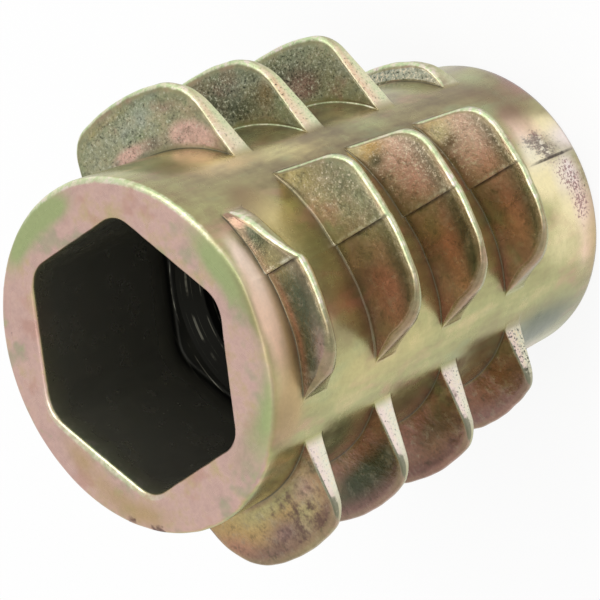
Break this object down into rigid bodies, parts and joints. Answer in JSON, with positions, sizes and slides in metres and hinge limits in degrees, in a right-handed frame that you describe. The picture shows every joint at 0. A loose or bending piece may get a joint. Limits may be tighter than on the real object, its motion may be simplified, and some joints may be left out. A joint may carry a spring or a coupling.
{
  "type": "threaded insert",
  "caption": "Cylindrical die-cast threaded insert for wood, with a hex socket at the drive end, a machine thread inside and coarse broken fins on a helix outside.",
  "frame": {"origin": "on the axis, at the centre of the pilot end's face", "axes": "+Z along the axis from the pilot end to the drive face with the hex socket; +X through one column of split fins, in the parting plane of the die (XZ); two corners of the hex lie on X"},
  "size_m": [0.0116, 0.0117, 0.013],
  "materials": {
    "chromated_zinc": "satin, yellow chromate over die-cast zinc, iridescent from olive and gold to pink"
  },
  "bodies": {
    "root": {"insert": "chromated_zinc"}
  },
  "joints": []
}
